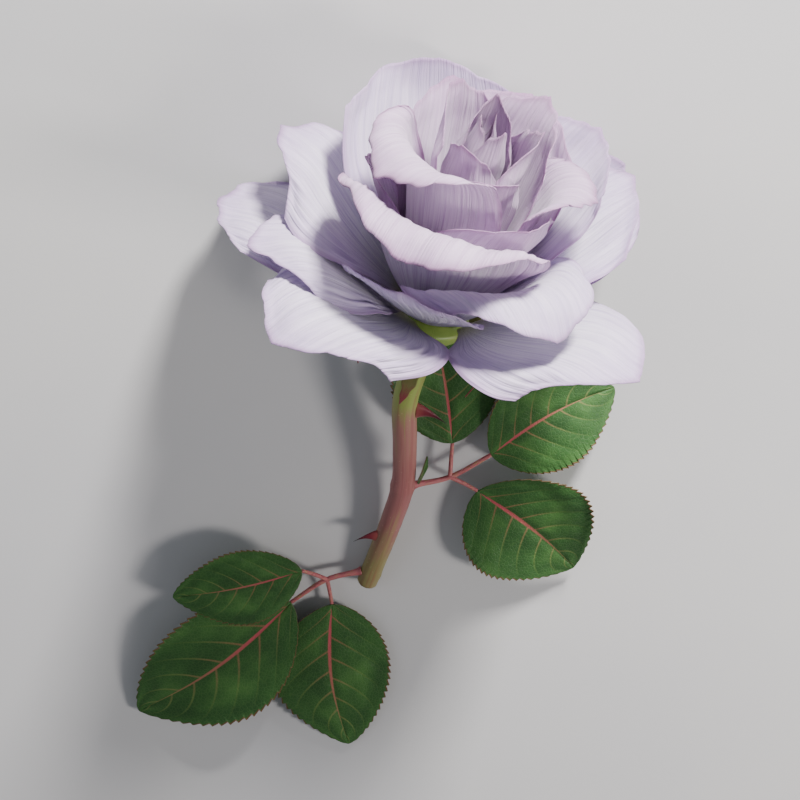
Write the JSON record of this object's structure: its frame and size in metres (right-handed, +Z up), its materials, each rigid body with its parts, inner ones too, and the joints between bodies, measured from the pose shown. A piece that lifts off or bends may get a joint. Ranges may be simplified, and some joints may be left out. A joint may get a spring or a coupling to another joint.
{
  "type": "cut rose",
  "caption": "Cut hybrid tea rose lying on its side: pale lilac layered bloom with rolled petals, pink-red thorned stem and toothed green leaves.",
  "frame": {"origin": "middle of the underside of the bounding box, on the table the rose lies on", "axes": "+X to the right of the stem seen from above, +Y from the cut end of the stem towards the bloom, +Z up from the table"},
  "size_m": [0.1508, 0.2286, 0.0796],
  "materials": {
    "petal_inner": "matte, soft and slightly translucent; rosier towards the lip",
    "petal_outer": "matte, soft and slightly translucent; near white at the foot",
    "hip_skin": "satin green skin",
    "sepal": "satin green, reddening to the tip",
    "stem_bark": "satin, pink-red over green, olive at the cut end",
    "thorn": "satin crimson, darker at the point",
    "leaf_stalk": "satin pink-red",
    "leaf_blade": "satin dark green with pink veins"
  },
  "bodies": {
    "root": {"petal_01": "petal_inner", "petal_02": "petal_inner", "petal_03": "petal_inner", "petal_04": "petal_inner", "petal_05": "petal_inner", "petal_06": "petal_inner", "petal_07": "petal_inner", "petal_08": "petal_inner", "petal_09": "petal_inner", "petal_10": "petal_inner", "petal_11": "petal_inner", "petal_12": "petal_inner", "petal_13": "petal_inner", "petal_14": "petal_inner", "petal_15": "petal_inner", "petal_16": "petal_inner", "petal_17": "petal_outer", "petal_18": "petal_outer", "petal_19": "petal_outer", "petal_20": "petal_outer", "petal_21": "petal_outer", "petal_22": "petal_outer", "petal_23": "petal_outer", "petal_24": "petal_outer", "petal_25": "petal_outer", "petal_26": "petal_outer", "petal_27": "petal_outer", "petal_28": "petal_outer", "petal_29": "petal_outer", "hip": "hip_skin", "sepal_1": "sepal", "sepal_2": "sepal", "sepal_3": "sepal", "sepal_4": "sepal", "sepal_5": "sepal", "stem": "stem_bark", "thorn_upper": "thorn", "thorn_lower": "thorn", "stalk_left": "leaf_stalk", "stalk_right": "leaf_stalk", "leaflet_left_end": "leaf_blade", "leaflet_left_near": "leaf_blade", "leaflet_left_far": "leaf_blade", "leaflet_right_end": "leaf_blade", "leaflet_right_upper": "leaf_blade", "leaflet_right_lower": "leaf_blade", "stipule": "leaf_blade"}
  },
  "joints": []
}
